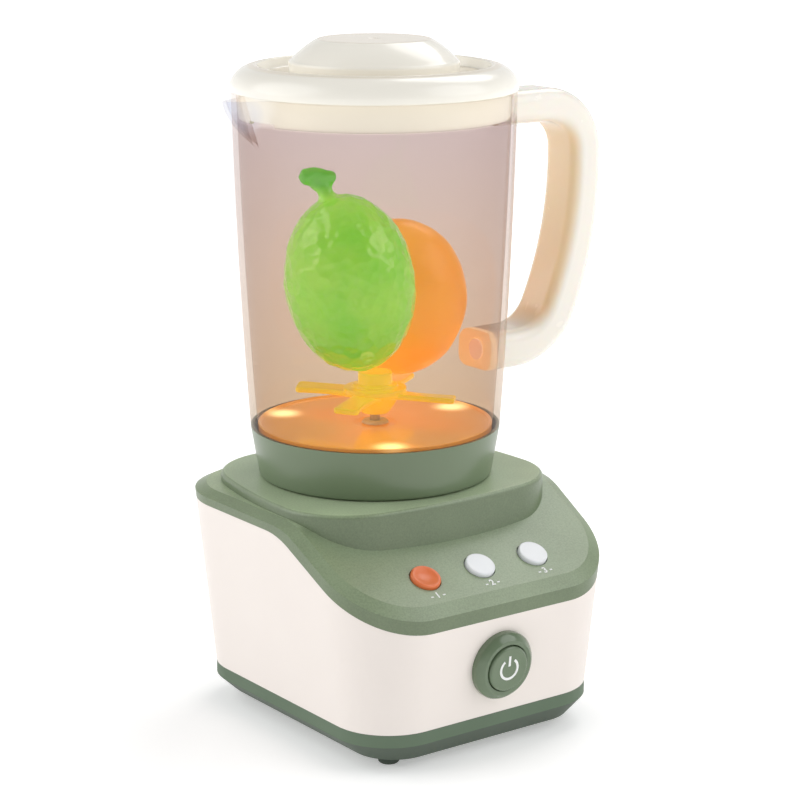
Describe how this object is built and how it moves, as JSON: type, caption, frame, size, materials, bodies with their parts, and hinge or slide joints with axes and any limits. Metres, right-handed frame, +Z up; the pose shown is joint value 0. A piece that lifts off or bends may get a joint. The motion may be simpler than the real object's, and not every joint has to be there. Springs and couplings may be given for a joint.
{
  "type": "toy blender",
  "caption": "Battery toy blender with a sloping button panel, a clear lift-off jar, a geared stirring rotor, a lift-off lid and play fruit.",
  "frame": {"origin": "on the floor under the middle of the whole object's width and depth, handle and spout included", "axes": "+Z up, -Y towards the person at the button panel, +X towards the handle, -X towards the spout"},
  "size_m": [0.1787, 0.1443, 0.2682],
  "materials": {
    "cream": "satin moulded plastic",
    "sage": "fine-grained moulded plastic",
    "sage_dark": "satin moulded plastic",
    "sage_gloss": "satin moulded plastic",
    "door": "satin moulded plastic",
    "orange_plastic": "gloss",
    "white_plastic": "gloss",
    "lid_cream": "gloss",
    "handle_cream": "gloss",
    "clear_jar": "clear moulded plastic",
    "amber": "translucent gloss",
    "yellow": "translucent gloss",
    "green_play": "gloss",
    "orange_play": "satin",
    "lens": "diffusing",
    "natural_plastic": "self-coloured",
    "steel": "plated",
    "contact": "nickel plate",
    "cell": "wrapped",
    "board": "laminate",
    "black": "matt",
    "rubber": "matt"
  },
  "bodies": {
    "base": {"base_plate": "sage_dark", "feet": "rubber", "shell": "cream", "top_cover": "sage", "power_bezel": "sage_gloss", "battery_door": "door", "door_screw": "steel", "batteries": "cell", "battery_contacts": "contact", "speaker": "black", "motor": "steel", "gear_frame": "natural_plastic", "frame_screws": "steel", "circuit_board": "board", "circuit_board_screws": "steel", "tact_switches": "black", "board_parts": "black", "power_board": "board", "power_board_screws": "steel", "power_switch": "black", "light_board": "board", "light_screws": "steel", "lights": "lens", "light_lenses": "lens", "case_screws": "steel", "drive_bush": "natural_plastic"},
    "power_button": {"power_button": "sage_gloss"},
    "orange_button": {"orange_button": "orange_plastic"},
    "middle_button": {"middle_button": "white_plastic"},
    "right_button": {"right_button": "white_plastic"},
    "drive": {"drive_shaft": "steel", "drive_gear": "natural_plastic", "drive_coupler": "natural_plastic"},
    "motor_spindle": {"motor_pinion": "natural_plastic", "motor_shaft": "steel"},
    "jar": {"jar": "clear_jar", "jar_collar": "sage_dark", "jar_floor": "amber", "handle": "handle_cream", "rotor_bush": "natural_plastic"},
    "rotor": {"blade_rotor": "yellow", "rotor_shaft": "steel", "driven_coupler": "natural_plastic"},
    "lid": {"lid": "lid_cream", "lid_cap": "lid_cream"},
    "orange_fruit": {"orange_fruit": "orange_play"},
    "green_fruit": {"green_fruit": "green_play"}
  },
  "joints": [
    {"name": "power_press", "type": "slide", "parent": "base", "child": "power_button", "axis": [0, 0.9947, 0.1024], "range_m": [0, 0.002], "stiffness_N_per_m": 300},
    {"name": "orange_press", "type": "slide", "parent": "base", "child": "orange_button", "axis": [0, 0.4648, -0.8854], "range_m": [0, 0.001], "stiffness_N_per_m": 300},
    {"name": "middle_press", "type": "slide", "parent": "base", "child": "middle_button", "axis": [0, 0.4648, -0.8854], "range_m": [0, 0.001], "stiffness_N_per_m": 300},
    {"name": "right_press", "type": "slide", "parent": "base", "child": "right_button", "axis": [0, 0.4648, -0.8854], "range_m": [0, 0.001], "stiffness_N_per_m": 300},
    {"name": "drive_spin", "type": "hinge", "parent": "base", "child": "drive", "pos_m": [-0.02, 0.0156, 0.073], "axis": [0, 0, 1], "continuous": true},
    {"name": "motor_spin", "type": "hinge", "parent": "base", "child": "motor_spindle", "pos_m": [-0.02, 0.03455, 0.073], "axis": [0, 0, 1], "continuous": true},
    {"name": "jar_lift", "type": "slide", "parent": "base", "child": "jar", "axis": [0, 0, 1], "range_m": [0, 0.08]},
    {"name": "rotor_spin", "type": "hinge", "parent": "jar", "child": "rotor", "pos_m": [-0.02, 0.0156, 0.127], "axis": [0, 0, 1], "continuous": true},
    {"name": "lid_lift", "type": "slide", "parent": "jar", "child": "lid", "axis": [0, 0, 1], "range_m": [0, 0.08]},
    {"name": "orange_float", "type": "slide", "parent": "jar", "child": "orange_fruit", "axis": [0, 0, 1], "range_m": [0, 0.012]},
    {"name": "green_float", "type": "slide", "parent": "orange_fruit", "child": "green_fruit", "axis": [0, 0, 1], "range_m": [0, 0.012]}
  ],
  "couplings": [
    {"joint": "motor_spin", "follows": "drive_spin", "ratio": -3.2},
    {"joint": "rotor_spin", "follows": "drive_spin", "ratio": 1}
  ]
}
